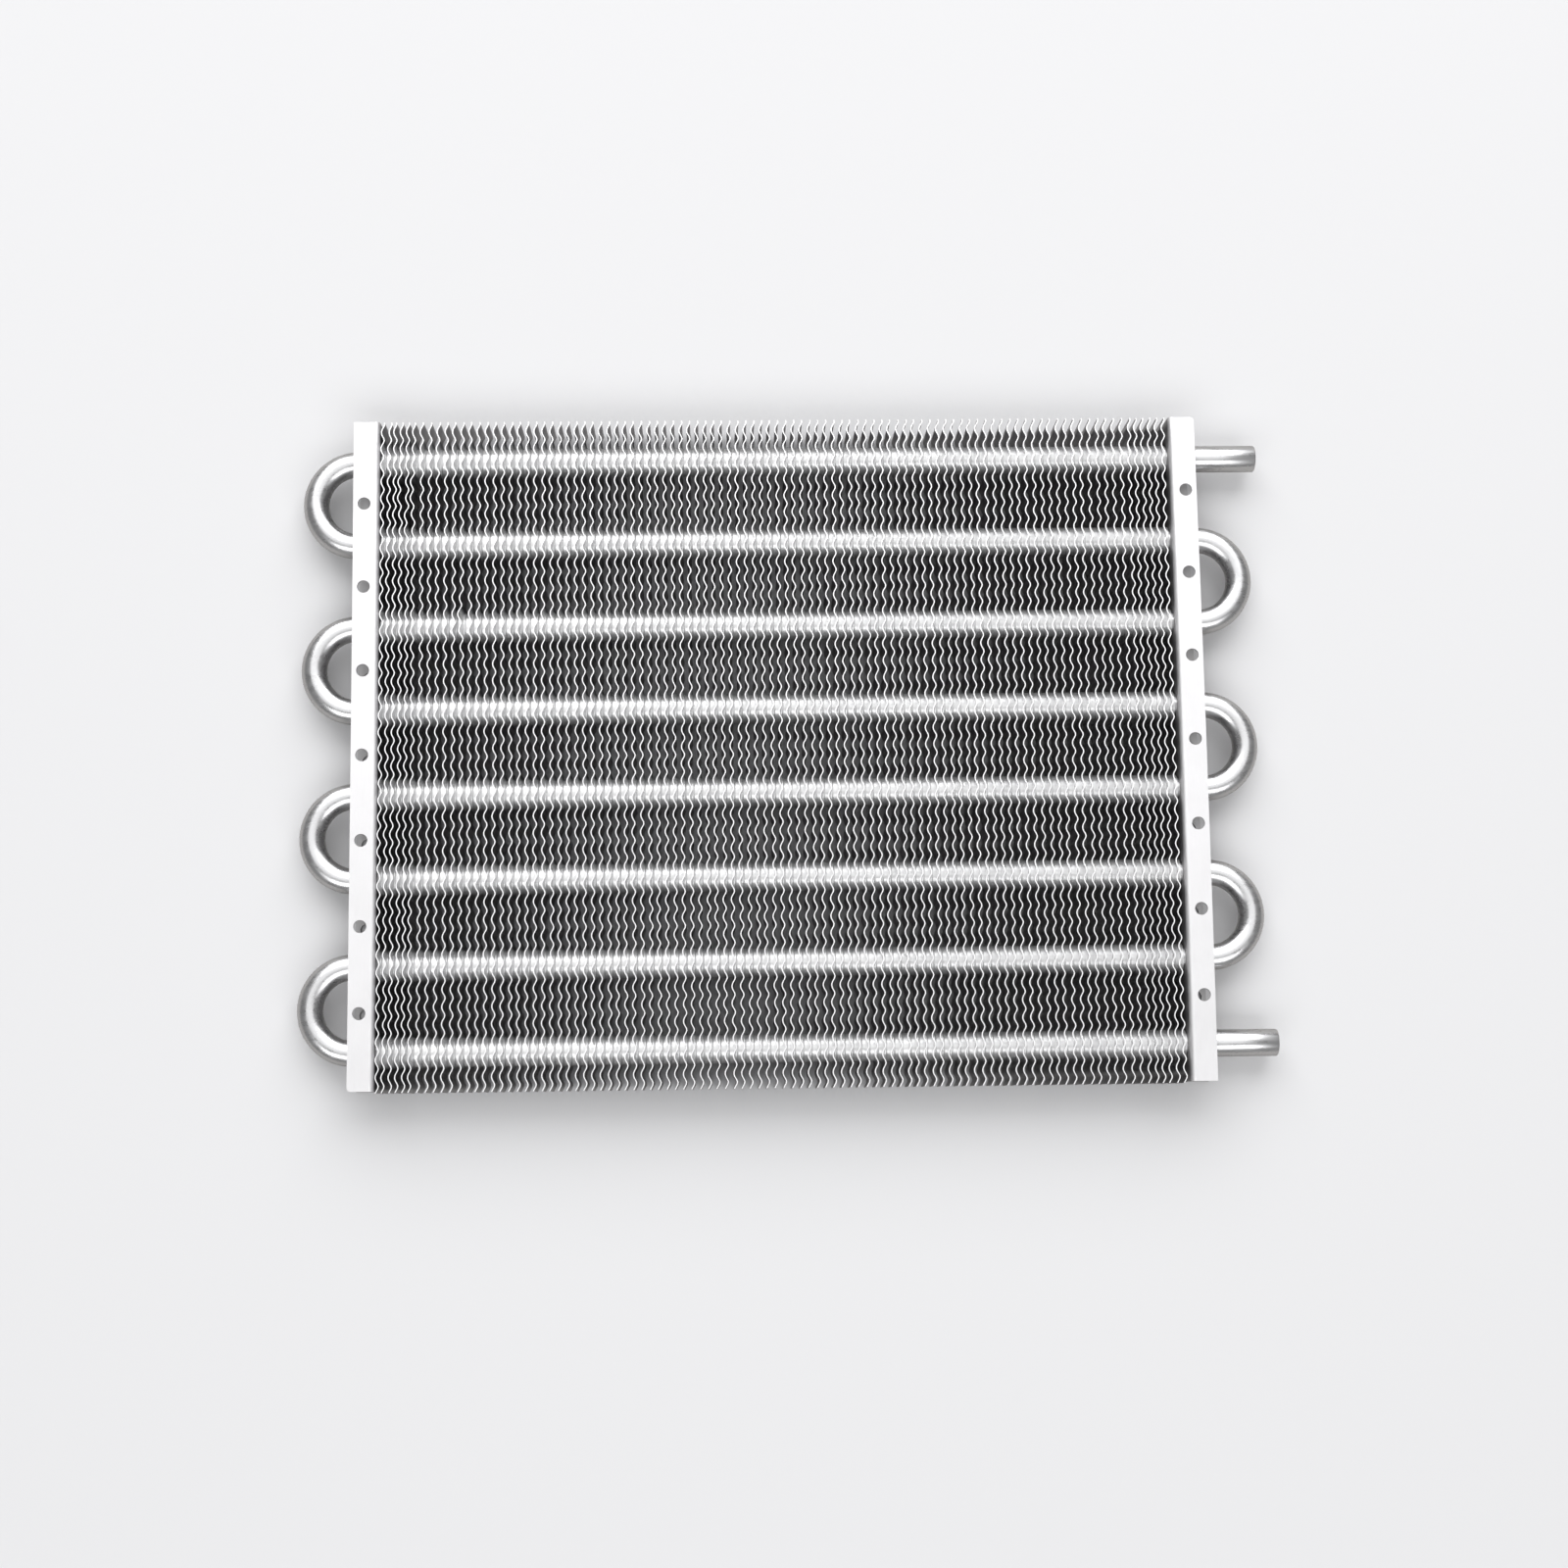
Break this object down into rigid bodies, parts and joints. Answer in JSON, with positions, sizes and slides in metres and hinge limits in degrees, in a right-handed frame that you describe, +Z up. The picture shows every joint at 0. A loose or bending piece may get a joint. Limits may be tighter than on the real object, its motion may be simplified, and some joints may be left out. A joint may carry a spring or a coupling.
{
  "type": "transmission oil cooler",
  "caption": "Flat tube-and-fin oil cooler: wavy fins on rows of straight tube, U bends past two folded end plates with rows of mounting holes, and two plain tube ends.",
  "frame": {"origin": "on the surface it lies on, under the middle of its outline", "axes": "+X along the tubes towards the inlet and outlet ends, +Y across the tube rows towards the first row, +Z up through the core's thickness"},
  "size_m": [0.3616, 0.2508, 0.019],
  "materials": {
    "plate_sheet": "bright mill-finish sheet",
    "fin_sheet": "bright rolled foil",
    "tube_metal": "drawn tube, bright",
    "braze_metal": "dull flux-brazed filler"
  },
  "bodies": {
    "root": {"end_plate_left": "plate_sheet", "end_plate_right": "plate_sheet", "hairpin_1": "tube_metal", "hairpin_2": "tube_metal", "hairpin_3": "tube_metal", "hairpin_4": "tube_metal", "return_bend_1": "tube_metal", "return_bend_2": "tube_metal", "return_bend_3": "tube_metal", "inlet_stub": "tube_metal", "outlet_stub": "tube_metal", "bend_braze_rings": "braze_metal", "stub_braze_rings": "braze_metal", "fins_01": "fin_sheet", "fins_02": "fin_sheet", "fins_03": "fin_sheet", "fins_04": "fin_sheet", "fins_05": "fin_sheet", "fins_06": "fin_sheet", "fins_07": "fin_sheet", "fins_08": "fin_sheet", "fins_09": "fin_sheet", "fins_10": "fin_sheet", "fins_11": "fin_sheet", "fins_12": "fin_sheet", "fins_13": "fin_sheet", "fins_14": "fin_sheet", "fins_15": "fin_sheet", "fins_16": "fin_sheet", "fins_17": "fin_sheet", "fins_18": "fin_sheet", "fins_19": "fin_sheet", "fins_20": "fin_sheet"}
  },
  "joints": []
}
